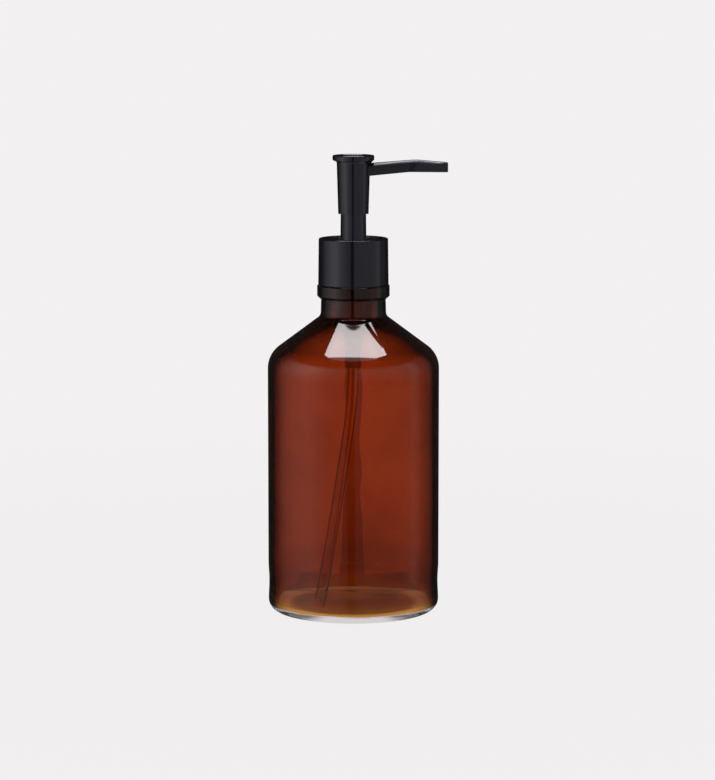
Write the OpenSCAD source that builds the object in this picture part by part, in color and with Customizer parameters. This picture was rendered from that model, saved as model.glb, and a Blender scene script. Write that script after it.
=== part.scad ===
// Countertop soap pump dispenser: a coated glass bottle with a screw-on, spring-return lotion pump.
// Millimetres, +Z up. The origin is where the bottle's axis meets the table; the nozzle points along +X.

/* [Bottle] */
// Outside diameter of the body
bottle_d = 76; // [66:0.5:92]
// Height at which the straight body ends and the shoulder starts
body_h = 108.7; // [88:0.1:135]
// Thickness of the glass in the body wall
glass_wall = 3.8; // [2.6:0.1:4.6]
// Thickness of the glass in the middle of the floor
base_t = 2.4; // [2:0.1:7]
// Radius of the inside corner between wall and floor
inner_corner_r = 2; // [1:0.1:4]
// Radius of the outside corner between wall and base
heel_r = 5; // [4:0.1:7]
// Depth by which the body draws in just above the heel
waist_in = 0.32; // [0:0.01:0.5]
// Height of the hollow under the base
punt_h = 0.8; // [0.3:0.1:1.5]
// Radius of the shoulder's round edge
shoulder_r = 11.9; // [8:0.1:15]
// Angle of the sloping shoulder below the horizontal
shoulder_slope = 36.7; // [30:0.1:42]
// Step in from the bead to the neck below it
neck_step = 1.73; // [1.3:0.01:2.2]
// Thickness of the glass in the neck
neck_wall = 2.7; // [2.2:0.1:3.2]
// Radius of the hollow blend between shoulder and neck
neck_blend_r = 3.2; // [2:0.1:4.5]
// Length of the straight neck below the bead
neck_len = 6.1; // [4:0.1:10]

/* [Neck finish] */
// Width by which the bead stands out past the collar
bead_proud = 0.47; // [0.2:0.01:1]
// Height of the bead
bead_h = 5.8; // [4:0.1:7]
// Bevel under the bead
bead_bevel = 1.1; // [0.6:0.1:1.5]
// Diameter of the glass between the screw threads
finish_d = 25.2; // [23:0.1:31]
// Thickness of the glass round the mouth
mouth_wall = 3; // [2.4:0.1:3.4]
// Height of the screw finish above the bead
finish_h = 15.4; // [14:0.1:20]
// Rise of the screw thread in one turn
thread_pitch = 4.2333; // [3.8:0.0001:4.6]
// Turns of thread on the glass
thread_turns = 1.5; // [1:0.25:2]
// Height of the thread's ridge
thread_h = 1.1; // [0.8:0.05:1.2]

/* [Collar] */
// Thickness of the collar's wall at its lower edge, outside the thread
collar_wall = 1.61; // [1.3:0.01:2]
// Draft of the collar's side, taken off each side at the top
collar_draft = 0.24; // [0:0.02:0.4]
// Thickness of the collar's top wall
collar_top_t = 1.4; // [1:0.1:2]
// Width of the raised rim round the collar's top
collar_rim_w = 1.7; // [1.2:0.1:2.5]
// Height of that rim
collar_rim_h = 0.8; // [0.4:0.1:1.2]
// Rounding of the collar's top edge
collar_edge_r = 0.7; // [0.3:0.1:1]
// Gap between the collar and the glass bead
collar_gap = 0.2; // [0.2:0.1:1]

/* [Pump] */
// Travel of the head
stroke = 10; // [7:0.1:14]
// Space between the pump housing and the glass mouth
housing_gap = 1.4; // [0.8:0.1:1.6]
// Wall of the pump housing
housing_wall = 1; // [0.8:0.05:1.2]
// Outside diameter of the hollow stem
stem_d = 6.6; // [5.5:0.1:8]
// Bore of the hollow stem
stem_bore_d = 3.8; // [2.6:0.1:4.2]
// Wall of the guide tube at its top
guide_wall = 1.05; // [0.8:0.05:1.4]
// Draft of the guide tube, added to each side at the collar
guide_draft = 0.2; // [0:0.02:0.3]
// Length by which the guide tube reaches into the sleeve at rest
guide_lap = 4.3; // [2:0.1:8]
// Depth by which the guide's spigot reaches into the housing
spigot_len = 10.4; // [8:0.1:14]
// Length of the bush that guides the stem
bush_len = 4; // [3:0.1:5]
// Thickness of each clamped flange
flange_t = 1; // [0.8:0.05:1.2]
// Thickness of the neck gasket
gasket_t = 1; // [0.8:0.05:1.5]
// Spring wire diameter
wire_d = 0.9; // [0.7:0.05:1]
// Space between the spring and the boss that centres it
coil_gap = 0.55; // [0.3:0.05:0.8]
// Number of spring coils
coils = 7; // [5:1:8]
// Diameter of the inlet ball
ball_d = 4.76; // [3.9:0.02:5.8]
// Distance that the inlet ball lifts
ball_lift = 1.2; // [0.8:0.1:1.6]
// Play of the piston on the valve stem, which opens the outlet
valve_play = 0.9; // [0.6:0.1:1.2]

/* [Dip tube] */
// Outside diameter of the dip tube
dip_d = 4.7; // [4.2:0.1:5]
// Bore of the dip tube
dip_bore_d = 3.3; // [2.6:0.1:3.4]
// Direction in which the tube leans, turned from +X
dip_heading = 236; // [180:1:270]
// Distance between the tube's foot and the inside of the wall
dip_foot_gap = 8.2; // [6:0.1:20]
// Height of the tube's foot above the glass floor
dip_foot_lift = 1.2; // [1:0.1:4]
// Tilt of the tube just below the housing
dip_tilt = 14; // [3:0.5:16]
// Radius of the bend that gives that tilt
dip_bend_r = 100; // [60:5:120]

/* [Head] */
// Wall of the sleeve at its lower edge
sleeve_wall = 0.7; // [0.6:0.05:1.2]
// Draft of the sleeve, added to each side under the flange
sleeve_draft = 0.67; // [0.2:0.01:1]
// Width of the press flange beyond the sleeve
press_overhang = 1.83; // [1:0.01:4]
// Thickness of the press flange at its edge
press_t = 2.2; // [1.8:0.1:2.8]
// Depth of the dish in the press flange
dish_depth = 0.7; // [0.3:0.1:1]
// Thickness of the head's solid top, above the sleeve's cavity
crown_t = 9.7; // [9:0.1:13]
// Wall of the boss that holds the stem
boss_wall = 0.85; // [0.7:0.05:1.2]
// Length of that boss below the cavity's roof
boss_len = 8; // [6:0.1:9]

/* [Nozzle] */
// Reach of the nozzle from the axis
nozzle_reach = 41.6; // [34:0.1:52]
// Distance of the bend from the axis, along the top edge
nozzle_bend_x = 27.5; // [22:0.1:29]
// Rise of the top edge from the root to the bend
nozzle_rise = 1.9; // [1:0.1:2.4]
// Drop of the top edge from the bend to the tip
nozzle_drop = 1.2; // [0.5:0.1:1.6]
// Depth of the nozzle at its root
nozzle_root_h = 5.5; // [5:0.1:6]
// Depth of the nozzle at its tip
nozzle_tip_h = 4.25; // [4:0.05:5]
// Width of the nozzle at its root
nozzle_root_w = 6.6; // [6:0.1:7]
// Width of the nozzle at its tip
nozzle_tip_w = 5; // [4.6:0.1:6]
// Bevel along the nozzle's top edges
nozzle_bevel = 1.2; // [0.6:0.1:1.4]
// Bore of the nozzle
nozzle_bore_d = 2.4; // [1.8:0.1:2.6]

/* [Fits] */
// Radial clearance of a running fit
run_fit = 0.05; // [0.03:0.01:0.08]
// Clearance between pieces that pass without touching
free_gap = 0.25; // [0.2:0.01:0.35]
// Clearance between faces that are drawn up to each other
face_gap = 0.05; // [0.02:0.01:0.1]

/* [Hidden] */
$fn = 96;
arc_steps = 10;     // straight steps that stand for a round stretch of an outline
root_depth = 0.3;   // how deep a thread ridge is sunk into its wall
thread_steps = 30;  // steps in one turn of a thread
dip_sides = 20;     // flat sides that stand for the dip tube's round wall
edge_cut = 0.3;     // small bevel on the edges of the mouldings

// Bottle levels and radii
bottle_r = bottle_d / 2;
inner_r = bottle_r - glass_wall;
floor_z = base_t + punt_h;
foot_r = bottle_r - heel_r;
foot_w = 5.6;               // width of the flat ring that the bottle stands on
punt_r = foot_r - foot_w;
heel_start = -84;           // angle at which the heel's curve leaves the flat ring
heel_inset = 0.15;          // the heel lies this far inside the body's side
waist_top = 22;             // height at which the body has its full width again
finish_r = finish_d / 2;
mouth_r = finish_r - mouth_wall;
nut_wall_r = finish_r + thread_h + free_gap;
collar_r = nut_wall_r + collar_wall;
bead_r = collar_r + bead_proud;
neck_r = bead_r - neck_step;
neck_draft = 0.15;          // the neck widens this much from the bead to the blend
shoulder_turn = 90 - shoulder_slope;
shoulder_c = [bottle_r - shoulder_r, body_h];
blend_c_r = neck_r + neck_draft + neck_blend_r;
slope_top_r = blend_c_r - neck_blend_r * cos(shoulder_turn);
slope_foot = shoulder_c + shoulder_r * [cos(shoulder_turn), sin(shoulder_turn)];
slope_top_z = slope_foot.y + (slope_foot.x - slope_top_r) / tan(shoulder_turn);
neck_z = slope_top_z + neck_blend_r * sin(shoulder_turn);
bead_z = neck_z + neck_len;
bead_top = bead_z + bead_h;
mouth_z = bead_top + finish_h;
rim_round = 0.6;            // rounding of the mouth's rim
bead_round = 0.5;           // rounding of the bead's top edge

// Thread: the ridge narrows from its root to its crest
ridge_root_w = 2.2;
ridge_crest_w = 1;
nut_root_w = 1.7;
nut_crest_w = 0.8;
thread_top_z = mouth_z - 2;
thread_low_z = thread_top_z - thread_turns * thread_pitch;
nut_thread_turns = 1.25;
flank_gap = 0.3;            // play between the two threads along the axis
flank_mid_w = (ridge_root_w + ridge_crest_w + nut_root_w + nut_crest_w) / 4;
nut_drop = flank_mid_w + flank_gap;

// Stack clamped between the glass rim and the collar's top wall
gasket_z = mouth_z + face_gap;
housing_flange_z = gasket_z + gasket_t;
guide_flange_z = housing_flange_z + flange_t;
collar_roof_z = guide_flange_z + flange_t + face_gap;
collar_floor_z = collar_roof_z + collar_top_t;
collar_top_z = collar_floor_z + collar_rim_h;
collar_z = bead_top + collar_gap;
guide_flange_r = finish_r - 0.2;
gasket_r = finish_r - 0.1;

// Pump levels, worked down from the collar
housing_r = mouth_r - housing_gap;
chamber_r = housing_r - housing_wall;
stem_r = stem_d / 2;
bush_z = guide_flange_z - spigot_len;
shoulder_gap = 0.3;
stem_shoulder_t = 2.2;
stem_shoulder_z = bush_z - shoulder_gap - stem_shoulder_t;
stem_shoulder_r = stem_r + 1.3;
spigot_r = stem_r - 0.8;    // the poppet's spigot in the stem's foot
spigot_seat = 6;            // depth of that joint
piston_h = 5.7;
piston_z = stem_shoulder_z - valve_play - face_gap - piston_h;
seat_t = 1.7;
poppet_z = piston_z - face_gap - seat_t;
poppet_shaft_r = stem_r - 0.2;
hub_r = poppet_shaft_r + run_fit;
hub_wall = 1.1;
seat_r = hub_r + hub_wall + 0.15;
poppet_bore_r = spigot_r - 0.9;
poppet_boss_r = stem_r + 0.3;
poppet_boss_h = 2;
coil_r = poppet_boss_r + coil_gap + wire_d / 2;
poppet_r = coil_r + wire_d / 2 + 0.25;
solid_spring = coils * wire_d;
spring_spare = 1;
chamber_z = poppet_z - stroke - solid_spring - spring_spare;
lug_t = 0.8;
ball_r = ball_d / 2;
pocket_r = ball_r + 0.5;
seat_slope = 39;
inlet_r = ball_r * cos(seat_slope) - 0.25;
seat_h = (pocket_r - inlet_r) / tan(seat_slope);
ball_rise = (ball_r / cos(seat_slope) - inlet_r) / tan(seat_slope) + run_fit;
lug_z = chamber_z - 0.2 - lug_t;
seat_z = lug_z - face_gap - ball_lift - ball_r - ball_rise;
ball_z = seat_z + ball_rise;
socket_top_z = seat_z - 1.8;
socket_len = 6.2;
socket_z = socket_top_z - socket_len;
socket_wall = 1.2;
dip_r = dip_d / 2;

// Head and guide tube: the stem in its boss, the boss in the guide, the guide in the sleeve
boss_r = stem_r + boss_wall;
guide_bore_r = boss_r + free_gap + 0.1;
guide_top_r = guide_bore_r + guide_wall;
guide_base_r = guide_top_r + guide_draft;
sleeve_bore_r = guide_base_r + free_gap;
sleeve_low_r = sleeve_bore_r + sleeve_wall;
sleeve_high_r = sleeve_low_r + sleeve_draft;
press_r = sleeve_high_r + press_overhang;
rest_gap = 0.6;             // left between sleeve and collar when the head is down
roof_gap = 2;               // left between guide tube and cavity roof when the head is down
sleeve_z = collar_top_z + rest_gap + stroke;
guide_top_z = sleeve_z + guide_lap;
cavity_roof_z = guide_top_z + stroke + roof_gap;
head_top_z = cavity_roof_z + crown_t;
boss_z = cavity_roof_z - boss_len;
stem_top_z = cavity_roof_z + 0.85;
sleeve_high_z = head_top_z - press_t - 0.8;

// Nozzle edge levels
nozzle_root_z = head_top_z - 3.9;
nozzle_bend_z = nozzle_root_z + nozzle_rise;
nozzle_tip_z = nozzle_bend_z - nozzle_drop;
nozzle_bend_lean = 2.9;
duct_z = nozzle_tip_z - nozzle_tip_h / 2;

// Dip tube: a straight stretch in its socket, a short bend, then one long easy curve
dip_reach = inner_r - dip_foot_gap;
dip_foot_cut = 0.8;
dip_foot_z = floor_z + dip_foot_lift + dip_r * (dip_foot_cut + 0.3);
dip_bend_end = [dip_bend_r * (1 - cos(dip_tilt)), socket_z - dip_bend_r * sin(dip_tilt)];
dip_fall = dip_bend_end.y - dip_foot_z;
dip_shift = dip_reach - dip_bend_end.x;
dip_slope = tan(dip_tilt);
dip_flare = dip_shift / dip_fall - dip_slope;   // what the long curve adds to that slope
dip_bend_steps = 4;
dip_curve_steps = 20;

// Points on an arc about c, from angle a to angle b
function arc(c, r, a, b, n = arc_steps) =
    [for (i = [0 : n]) let (t = a + (b - a) * i / n) c + r * [cos(t), sin(t)]];

// Faces of the side of a tube of n rings with m points each, whose first point has the given number
function side_faces(n, m, first = 0) = [for (i = [0 : n - 2], j = [0 : m - 1])
    let (a = first + i * m + j, b = first + i * m + (j + 1) % m) each [[a, b, b + m], [a, b + m, a + m]]];

// Faces of a solid tube of rings
function tube_faces(n, m) = concat(
    side_faces(n, m),
    [[for (j = [m - 1 : -1 : 0]) j]],
    [[for (j = [0 : m - 1]) (n - 1) * m + j]]);

// Faces of a hollow tube: its outer rings come first, then as many inner ones
function pipe_faces(n, m) = concat(
    side_faces(n, m),
    [for (f = side_faces(n, m, n * m)) [f[2], f[1], f[0]]],
    [for (j = [0 : m - 1]) let (k = (j + 1) % m) each
        [[k, j, n * m + j], [k, n * m + j, n * m + k]]],
    [for (j = [0 : m - 1]) let (o = (n - 1) * m, k = (j + 1) % m) each
        [[o + j, o + k, n * m + o + k], [o + j, n * m + o + k, n * m + o + j]]]);

module tube_of_rings(rings) {
    polyhedron(points = [for (ring = rings) each ring],
               faces = tube_faces(len(rings), len(rings[0])), convexity = 8);
}

// Height of a thread's ridge along its length: it fades in and out over 36 degrees
function fade(i, n) = max(0.08, min(1, min(i, n - i) / (thread_steps / 10)));

// A helical ridge. side is 1 on a screw and -1 in a nut.
module thread_ridge(wall_r, side, low_z, turns, root_w, crest_w) {
    n = round(turns * thread_steps);
    tube_of_rings([for (i = [0 : n])
        let (t = 360 * i / thread_steps, z = low_z + thread_pitch * i / thread_steps,
             root = wall_r - side * root_depth, crest = wall_r + side * thread_h * fade(i, n),
             ring = [[root, -root_w / 2], [crest, -crest_w / 2], [crest, crest_w / 2], [root, root_w / 2]],
             turned = side > 0 ? ring : [ring[3], ring[2], ring[1], ring[0]])
        [for (p = turned) [p.x * cos(t), p.x * sin(t), z + p.y]]]);
}

// Outline of the glass from the middle of the base, up the outside, to the rim
function glass_outside() = concat(
    [for (i = [0 : arc_steps]) let (u = i / arc_steps) [punt_r * u, punt_h * (1 - u * u)]],
    [[foot_r, 0]],
    arc([foot_r, heel_r], heel_r - heel_inset / 2, heel_start, 0),
    [for (i = [1 : arc_steps]) let (u = i / arc_steps)
        [bottle_r - heel_inset * (1 - u) / 2 - waist_in * (1 - cos(360 * u)) / 2,
         heel_r + (waist_top - heel_r) * u]],
    arc(shoulder_c, shoulder_r, 0, shoulder_turn),
    arc([blend_c_r, neck_z], neck_blend_r, 180 + shoulder_turn, 180),
    [[neck_r, bead_z]],
    [[bead_r - bead_bevel, bead_z], [bead_r, bead_z + bead_bevel]],
    arc([bead_r - bead_round, bead_top - bead_round], bead_round, 0, 90, 4),
    [[finish_r, bead_top]],
    arc([finish_r - rim_round, mouth_z - rim_round], rim_round, 0, 90, 4));

// Outline of the glass from the rim, down the inside, to the middle of the floor
function glass_inside() = concat(
    arc([mouth_r + rim_round, mouth_z - rim_round], rim_round, 90, 180, 4),
    [[mouth_r, bead_z + 1.5], [neck_r - neck_wall, neck_z + 2]],
    arc([blend_c_r, neck_z], neck_blend_r + neck_wall, 180, 180 + shoulder_turn),
    arc(shoulder_c, shoulder_r - glass_wall, shoulder_turn, 0),
    arc([inner_r - inner_corner_r, floor_z + inner_corner_r], inner_corner_r, 0, -90),
    [[0, floor_z]]);

module glass_bottle() {
    color([0.42, 0.14, 0.06, 0.6]) union() {
        rotate_extrude() polygon(concat(glass_outside(), glass_inside()));
        thread_ridge(finish_r, 1, thread_low_z, thread_turns, ridge_root_w, ridge_crest_w);
    }
}

module collar() {
    top_r = collar_r - collar_draft;
    lip_r = top_r - collar_rim_w;
    hole_r = guide_base_r + free_gap;
    color([0.1, 0.1, 0.11]) union() {
        rotate_extrude() polygon(concat(
            [[nut_wall_r + edge_cut, collar_z], [collar_r - edge_cut, collar_z],
             [collar_r, collar_z + edge_cut]],
            arc([top_r - collar_edge_r, collar_top_z - collar_edge_r], collar_edge_r, 0, 90, 6),
            [[lip_r + 0.2, collar_top_z], [lip_r, collar_top_z - 0.2], [lip_r, collar_floor_z]],
            [[hole_r, collar_floor_z], [hole_r, collar_roof_z]],
            [[nut_wall_r - 0.4, collar_roof_z], [nut_wall_r, collar_roof_z - 0.4],
             [nut_wall_r, collar_z + edge_cut]]));
        thread_ridge(nut_wall_r, -1, thread_low_z - nut_drop, nut_thread_turns, nut_root_w, nut_crest_w);
    }
}

// The guide stands on the housing, is clamped by the collar and holds the stem in its bush
module guide_tube() {
    bush_r = stem_r + run_fit;
    skirt_bore_r = chamber_r - 1.2;
    color([0.11, 0.11, 0.12]) rotate_extrude() polygon([
        [bush_r, bush_z], [chamber_r - edge_cut, bush_z], [chamber_r, bush_z + edge_cut],
        [chamber_r, guide_flange_z], [guide_flange_r, guide_flange_z],
        [guide_flange_r, guide_flange_z + flange_t], [guide_base_r, guide_flange_z + flange_t],
        [guide_top_r, guide_top_z - edge_cut], [guide_top_r - edge_cut, guide_top_z],
        [guide_bore_r, guide_top_z], [guide_bore_r, guide_flange_z - 0.4],
        [skirt_bore_r, guide_flange_z - 0.4], [skirt_bore_r, bush_z + bush_len],
        [bush_r, bush_z + bush_len]]);
}

// Chamber, ball seat and dip tube socket in one moulding
module pump_housing() {
    pocket_wall_r = pocket_r + housing_wall;
    socket_r = dip_r + socket_wall;
    lug_reach = pocket_r - ball_r + 0.75;
    color([0.78, 0.78, 0.77]) union() {
        difference() {
            rotate_extrude() polygon([
                [dip_r, socket_z], [socket_r - 0.4, socket_z], [socket_r, socket_z + 0.6],
                [socket_r, seat_z - 0.4], [pocket_wall_r, seat_z], [pocket_wall_r, chamber_z - 2.2],
                [housing_r, chamber_z + 1], [housing_r, housing_flange_z],
                [finish_r, housing_flange_z], [finish_r, housing_flange_z + flange_t],
                [chamber_r, housing_flange_z + flange_t], [chamber_r, chamber_z],
                [pocket_r, chamber_z], [pocket_r, seat_z + seat_h], [inlet_r, seat_z],
                [inlet_r, socket_top_z], [dip_r, socket_top_z]]);
            // Vent that lets air into the bottle as soap is drawn out
            translate([chamber_r - 1, 0, bush_z - 1.4]) rotate([0, 90, 0]) cylinder(h = 3, r = 0.6);
        }
        // Lugs that keep the ball in its pocket
        for (i = [0 : 2]) rotate(120 * i)
            translate([pocket_r - lug_reach, -0.6, lug_z]) cube([lug_reach + 0.3, 1.2, lug_t]);
    }
}

module neck_gasket() {
    color([0.9, 0.9, 0.88]) rotate_extrude()
        translate([mouth_r + 0.2, gasket_z]) square([gasket_r - mouth_r - 0.2, gasket_t]);
}

// Stations along the dip tube's middle: [distance from the axis, height, tilt]
function dip_stations() = concat(
    [[0, socket_top_z - face_gap, 0], [0, socket_z, 0]],
    [for (i = [1 : dip_bend_steps]) let (t = dip_tilt * i / dip_bend_steps)
        [dip_bend_r * (1 - cos(t)), socket_z - dip_bend_r * sin(t), t]],
    [for (i = [1 : dip_curve_steps]) let (u = i / dip_curve_steps)
        [dip_bend_end.x + dip_fall * u * (dip_slope + dip_flare * u),
         dip_bend_end.y - dip_fall * u, atan(dip_slope + 2 * dip_flare * u)]]);

// Ring of radius r at station s. cut slants it, for the tube's foot.
function dip_ring(s, r, cut = 0) = [for (j = [0 : dip_sides - 1])
    let (b = 360 * j / dip_sides, across = r * cos(b), along = cut * r * cos(b))
    [s.x + across * cos(s.z) + along * sin(s.z), r * sin(b),
     s.y + across * sin(s.z) - along * cos(s.z)]];

// The foot is cut on the slant, so that it can't seal itself against the floor
module dip_tube() {
    stations = dip_stations();
    n = len(stations);
    walls = [for (r = [dip_r, dip_bore_d / 2], i = [0 : n - 1])
        dip_ring(stations[i], r, i == n - 1 ? -dip_foot_cut : 0)];
    color([0.8, 0.75, 0.68]) rotate(dip_heading)
        polyhedron(points = [for (ring = walls) each ring], faces = pipe_faces(n, dip_sides), convexity = 6);
}

// Compression spring with a closed coil at each end
module return_spring() {
    steps = 24;
    sides = 8;
    wire_r = wire_d / 2;
    n = coils * steps;
    low = chamber_z + face_gap + wire_r;
    high = poppet_z - face_gap - wire_r;
    open_rise = (high - low - 2 * wire_d * 1.03) / (coils - 2);
    function rise(t) = t < 1 ? wire_d * 1.03 * t
        : t > coils - 1 ? high - low - wire_d * 1.03 * (coils - t)
        : wire_d * 1.03 + open_rise * (t - 1);
    color([0.7, 0.7, 0.72]) tube_of_rings([for (i = [0 : n])
        let (a = 360 * i / steps, z = low + rise(i / steps))
        [for (j = [0 : sides - 1]) let (b = 360 * j / sides, r = coil_r + wire_r * cos(b))
            [r * cos(a), r * sin(a), z + wire_r * sin(b)]]]);
}

module inlet_ball() {
    color([0.75, 0.75, 0.77]) translate([0, 0, ball_z]) sphere(r = ball_r);
}

// Hollow stem. Its foot is a collar that the bush stops, bored to take the valve poppet.
module stem() {
    bore_r = stem_bore_d / 2;
    color([0.85, 0.85, 0.84]) rotate_extrude() polygon([
        [spigot_r, stem_shoulder_z], [stem_shoulder_r, stem_shoulder_z],
        [stem_shoulder_r, stem_shoulder_z + stem_shoulder_t - edge_cut],
        [stem_shoulder_r - edge_cut, stem_shoulder_z + stem_shoulder_t],
        [stem_r, stem_shoulder_z + stem_shoulder_t], [stem_r, stem_top_z - 0.4],
        [stem_r - 0.4, stem_top_z], [bore_r, stem_top_z],
        [bore_r, stem_shoulder_z + spigot_seat], [spigot_r, stem_shoulder_z + spigot_seat]]);
}

// The poppet carries the piston's seat. Its side ports open when the piston slides up off the seat.
module valve_poppet() {
    port_z = piston_z + 1;
    color([0.75, 0.76, 0.78]) difference() {
        rotate_extrude() polygon([
            [0, poppet_z - poppet_boss_h], [poppet_boss_r - 0.4, poppet_z - poppet_boss_h],
            [poppet_boss_r, poppet_z - poppet_boss_h + 0.5], [poppet_boss_r, poppet_z],
            [poppet_r, poppet_z], [poppet_r, poppet_z + 0.7], [seat_r, poppet_z + seat_t],
            [poppet_shaft_r, poppet_z + seat_t], [poppet_shaft_r, stem_shoulder_z],
            [spigot_r, stem_shoulder_z], [spigot_r, stem_shoulder_z + spigot_seat - 0.4],
            [spigot_r - 0.4, stem_shoulder_z + spigot_seat],
            [poppet_bore_r, stem_shoulder_z + spigot_seat],
            [poppet_bore_r, poppet_z + seat_t], [0, poppet_z + seat_t]]);
        for (i = [0 : 1]) rotate(90 * i) translate([-poppet_shaft_r - 1, 0, port_z])
            rotate([0, 90, 0]) cylinder(h = 2 * poppet_shaft_r + 2, r = 0.6);
    }
}

// Piston with two thin wiping lips. Its lower half is the upper half turned over.
module piston() {
    lip_r = chamber_r - run_fit;
    hub_side_r = hub_r + hub_wall;
    // From the hub out to the lip, with heights measured in from the end of the hub
    lip = [[hub_r, 0], [hub_side_r, 0], [hub_side_r, 2.2], [lip_r - 0.9, 2.2], [lip_r - 0.6, 0.4],
           [lip_r, 0.4], [lip_r, 1.3], [lip_r - 0.4, 1.9]];
    color([0.88, 0.88, 0.86]) rotate_extrude() polygon(concat(
        [for (p = lip) [p.x, piston_z + p.y]],
        [for (i = [len(lip) - 1 : -1 : 0]) [lip[i].x, piston_z + piston_h - lip[i].y]]));
}

// One cross-section of the nozzle. low and high are the middles of its lower and upper edges.
function nozzle_ring(low, high, w, bevel) =
    let (side = high - (high - low) * bevel / (high.y - low.y))
    [[low.x, w / 2, low.y], [low.x, -w / 2, low.y], [side.x, -w / 2, side.y],
     [high.x, bevel - w / 2, high.y], [high.x, w / 2 - bevel, high.y], [side.x, w / 2, side.y]];

// Nozzle from inside the sleeve, up to the bend, down to the tip and in to the tip's bevelled end
module nozzle_body() {
    start_x = 3;
    top_start = [start_x, nozzle_root_z];
    top_bend = [nozzle_bend_x, nozzle_bend_z];
    top_tip = [nozzle_reach, nozzle_tip_z];
    bend_h = (nozzle_root_h + nozzle_tip_h) / 2 + 0.45;
    bend_w = nozzle_root_w + (nozzle_tip_w - nozzle_root_w) * nozzle_bend_x / nozzle_reach;
    tip_bevel = nozzle_bevel * 2 / 3;
    end_in = 0.35;
    tube_of_rings([
        nozzle_ring(top_start - [0, nozzle_root_h], top_start, nozzle_root_w, nozzle_bevel),
        nozzle_ring(top_bend - [nozzle_bend_lean, bend_h], top_bend, bend_w, nozzle_bevel),
        nozzle_ring(top_tip - [end_in, nozzle_tip_h], top_tip - [end_in, 0], nozzle_tip_w, tip_bevel),
        nozzle_ring(top_tip - [0, nozzle_tip_h - end_in], top_tip - [0, end_in],
                    nozzle_tip_w - 2 * end_in, tip_bevel)]);
}

// Web that carries the flange's edge down onto the nozzle's root
module nozzle_web() {
    web_w = nozzle_root_w - 2 * nozzle_bevel;
    rotate([90, 0, 0]) linear_extrude(height = web_w, center = true) polygon([
        [sleeve_high_r - 1, head_top_z - press_t - 2.4], [sleeve_high_r + 0.1, head_top_z - press_t - 1.6],
        [press_r - 0.1, head_top_z - press_t + 0.4], [sleeve_high_r - 1, head_top_z - press_t + 0.4]]);
}

module actuator_head() {
    round_r = 0.95;
    dish_r = press_r - 1.5;
    stem_hole_r = stem_r + run_fit;
    color([0.1, 0.1, 0.11]) difference() {
        union() {
            rotate_extrude() polygon(concat(
                [[0, sleeve_z], [sleeve_low_r - 0.25, sleeve_z], [sleeve_low_r, sleeve_z + 0.25],
                 [sleeve_high_r, sleeve_high_z], [press_r - 0.3, head_top_z - press_t],
                 [press_r, head_top_z - press_t + 0.3]],
                arc([press_r - round_r, head_top_z - round_r], round_r, 0, 90, 6),
                arc([dish_r + 0.2, head_top_z - 0.3], 0.3, 90, 135, 3),
                [for (i = [0 : 6]) let (u = 1 - i / 6)
                    [(dish_r - 0.3) * u, head_top_z - dish_depth + (dish_depth - 0.35) * u * u]]));
            nozzle_body();
            nozzle_web();
        }
        difference() {
            translate([0, 0, sleeve_z - 1]) cylinder(h = cavity_roof_z - sleeve_z + 1, r = sleeve_bore_r);
            translate([0, 0, boss_z]) cylinder(h = boss_len + 1, r = boss_r);
        }
        translate([0, 0, boss_z - 1]) cylinder(h = stem_top_z - boss_z + 1 + face_gap, r = stem_hole_r);
        translate([0, 0, stem_top_z - 1]) cylinder(h = duct_z - stem_top_z + 2.2, d = stem_bore_d);
        translate([0, 0, duct_z]) rotate([0, 90, 0]) cylinder(h = nozzle_reach + 1, d = nozzle_bore_d);
    }
}

glass_bottle();
collar();
guide_tube();
pump_housing();
neck_gasket();
dip_tube();
return_spring();
inlet_ball();
stem();
valve_poppet();
piston();
actuator_head();
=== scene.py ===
"""Glass soap dispenser with a black screw-on lotion pump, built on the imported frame. Metres, +Z up."""
from math import atan, cos, pi, radians, sin, sqrt, tan

import bmesh
import bpy
from bpy.props import FloatProperty, FloatVectorProperty, PointerProperty
from mathutils import Matrix, Vector


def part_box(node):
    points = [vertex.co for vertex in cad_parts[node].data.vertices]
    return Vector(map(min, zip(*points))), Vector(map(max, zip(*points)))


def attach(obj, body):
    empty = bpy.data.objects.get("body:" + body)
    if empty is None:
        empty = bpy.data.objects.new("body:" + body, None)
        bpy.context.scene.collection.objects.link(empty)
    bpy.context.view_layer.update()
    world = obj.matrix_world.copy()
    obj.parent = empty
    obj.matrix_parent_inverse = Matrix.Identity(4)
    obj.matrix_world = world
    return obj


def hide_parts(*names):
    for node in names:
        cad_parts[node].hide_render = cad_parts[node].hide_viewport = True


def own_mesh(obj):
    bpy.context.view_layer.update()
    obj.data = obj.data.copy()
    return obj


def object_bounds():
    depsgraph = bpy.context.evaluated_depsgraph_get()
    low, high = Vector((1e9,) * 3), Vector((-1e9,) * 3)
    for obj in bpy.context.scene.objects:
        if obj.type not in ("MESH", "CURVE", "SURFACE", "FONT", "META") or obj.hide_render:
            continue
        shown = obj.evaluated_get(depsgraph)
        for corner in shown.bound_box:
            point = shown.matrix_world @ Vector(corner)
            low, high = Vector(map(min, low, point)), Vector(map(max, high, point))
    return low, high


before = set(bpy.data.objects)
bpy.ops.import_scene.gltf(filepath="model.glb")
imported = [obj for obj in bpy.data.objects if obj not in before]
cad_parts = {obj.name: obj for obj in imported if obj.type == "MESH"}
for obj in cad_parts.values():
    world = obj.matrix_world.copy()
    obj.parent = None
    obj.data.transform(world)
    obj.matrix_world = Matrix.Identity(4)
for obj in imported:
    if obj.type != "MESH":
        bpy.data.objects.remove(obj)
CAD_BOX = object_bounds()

bl_info = {
    "name": "Soap Pump Dispenser",
    "version": (1, 0, 0),
    "blender": (4, 5, 0),
    "location": "View3D > Sidebar > Dispenser",
    "description": "Builds a coated glass bottle with a black lotion pump, piece by piece",
    "category": "Add Mesh",
}

MM = 0.001
# Closer than this counts as the same place
TINY = 0.001 * MM
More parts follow.
